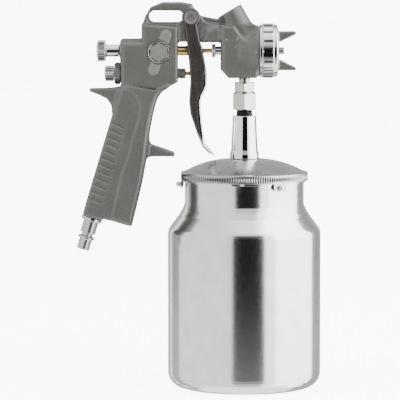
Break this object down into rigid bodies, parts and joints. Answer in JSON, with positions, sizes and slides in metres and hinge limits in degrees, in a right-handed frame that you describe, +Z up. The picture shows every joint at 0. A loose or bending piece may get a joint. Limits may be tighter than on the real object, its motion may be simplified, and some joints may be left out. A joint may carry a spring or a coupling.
{
  "type": "suction-feed air spray gun",
  "caption": "Hand spray gun with pistol grip, trigger, needle and air valve, horned air cap, and a screw-on stem holding a twist-off metal paint cup below.",
  "frame": {"origin": "centre of the cup's flat base", "axes": "+Z up the cup's axis, +X the way the gun sprays, -Y the gun's left-hand side with the badge"},
  "size_m": [0.1708, 0.107, 0.2694],
  "materials": {
    "cast_grey": "die-cast alloy under satin warm grey paint",
    "cup_aluminium": "spun and polished, fine turning lines",
    "lid_aluminium": "polished",
    "ring_aluminium": "bright machined",
    "chrome_plate": "bright chrome",
    "nickel_plate": "satin nickel plate",
    "brass": "turned, bright",
    "bronze": "turned, copper tone",
    "black_steel": "black oxide",
    "dark_chrome": "dark chrome",
    "plain_steel": "bright drawn",
    "black_rubber": "matt",
    "white_ptfe": "waxy"
  },
  "bodies": {
    "gun": {"gun_body": "cast_grey", "side_badge": "cast_grey", "lid": "lid_aluminium", "lid_stem": "chrome_plate", "needle_packing_nut": "chrome_plate", "fluid_nipple": "nickel_plate", "union_nut": "nickel_plate", "air_plug": "nickel_plate", "inlet_ring": "nickel_plate", "fluid_nozzle": "nickel_plate", "suction_strainer": "nickel_plate", "fluid_knob_bush": "brass", "air_valve_seat": "brass", "nozzle_gasket": "bronze", "trigger_pin": "black_steel", "trigger_pin_nut": "black_steel", "air_valve_plug": "black_steel", "tube_connector": "black_steel", "air_valve_gland_nut": "dark_chrome", "needle_spring": "plain_steel", "air_valve_spring": "plain_steel", "lid_rivet_1": "plain_steel", "lid_rivet_2": "plain_steel", "lid_rivet_3": "plain_steel", "suction_tube": "plain_steel", "lid_lock_nut": "plain_steel", "fluid_knob_ring": "black_rubber", "needle_packing": "white_ptfe", "air_valve_packing": "white_ptfe"},
    "trigger": {"trigger": "dark_chrome"},
    "needle_set": {"needle": "brass", "needle_collar": "brass"},
    "air_valve": {"air_valve_stem": "bronze", "air_valve_seal": "black_rubber"},
    "fluid_knob": {"fluid_knob": "chrome_plate"},
    "air_knob": {"air_knob": "chrome_plate"},
    "air_cap": {"air_cap": "dark_chrome"},
    "air_cap_ring": {"air_cap_ring": "ring_aluminium"},
    "lid_gasket": {"lid_gasket": "black_rubber"},
    "cup": {"cup": "cup_aluminium"}
  },
  "joints": [
    {"name": "trigger_pull", "type": "hinge", "parent": "gun", "child": "trigger", "pos_m": [-0.0373, 0, 0.2588], "axis": [0, 1, 0], "range_deg": [0, 10.5], "stiffness_Nm_per_rad": 1.2, "springref_deg": -17.19},
    {"name": "needle_slide", "type": "slide", "parent": "gun", "child": "needle_set", "axis": [-1, 0, 0], "range_m": [0, 0.0037], "deforming": ["needle_spring"]},
    {"name": "air_valve_slide", "type": "slide", "parent": "gun", "child": "air_valve", "axis": [-1, 0, 0], "range_m": [0, 0.0068], "deforming": ["air_valve_spring"]},
    {"name": "fluid_knob_turn", "type": "hinge", "parent": "gun", "child": "fluid_knob", "pos_m": [-0.09, 0, 0.2355], "axis": [-1, 0, 0], "range_deg": [0, 1080]},
    {"name": "air_knob_turn", "type": "hinge", "parent": "gun", "child": "air_knob", "pos_m": [-0.09, 0, 0.2197], "axis": [-1, 0, 0], "range_deg": [0, 720]},
    {"name": "air_cap_turn", "type": "hinge", "parent": "gun", "child": "air_cap", "pos_m": [0.02, 0, 0.2355], "axis": [1, 0, 0], "continuous": true},
    {"name": "cap_ring_turn", "type": "hinge", "parent": "gun", "child": "air_cap_ring", "pos_m": [0.017, 0, 0.2355], "axis": [1, 0, 0], "continuous": true},
    {"name": "cup_twist", "type": "hinge", "parent": "gun", "child": "lid_gasket", "pos_m": [0, 0, 0.147], "axis": [0, 0, 1], "range_deg": [0, 40]},
    {"name": "cup_drop", "type": "slide", "parent": "lid_gasket", "child": "cup", "axis": [0, 0, -1], "range_m": [0, 0.16]}
  ],
  "couplings": [
    {"joint": "needle_slide", "follows": "trigger_pull", "m_per_rad": 0.0197},
    {"joint": "air_valve_slide", "follows": "trigger_pull", "m_per_rad": 0.0366}
  ]
}
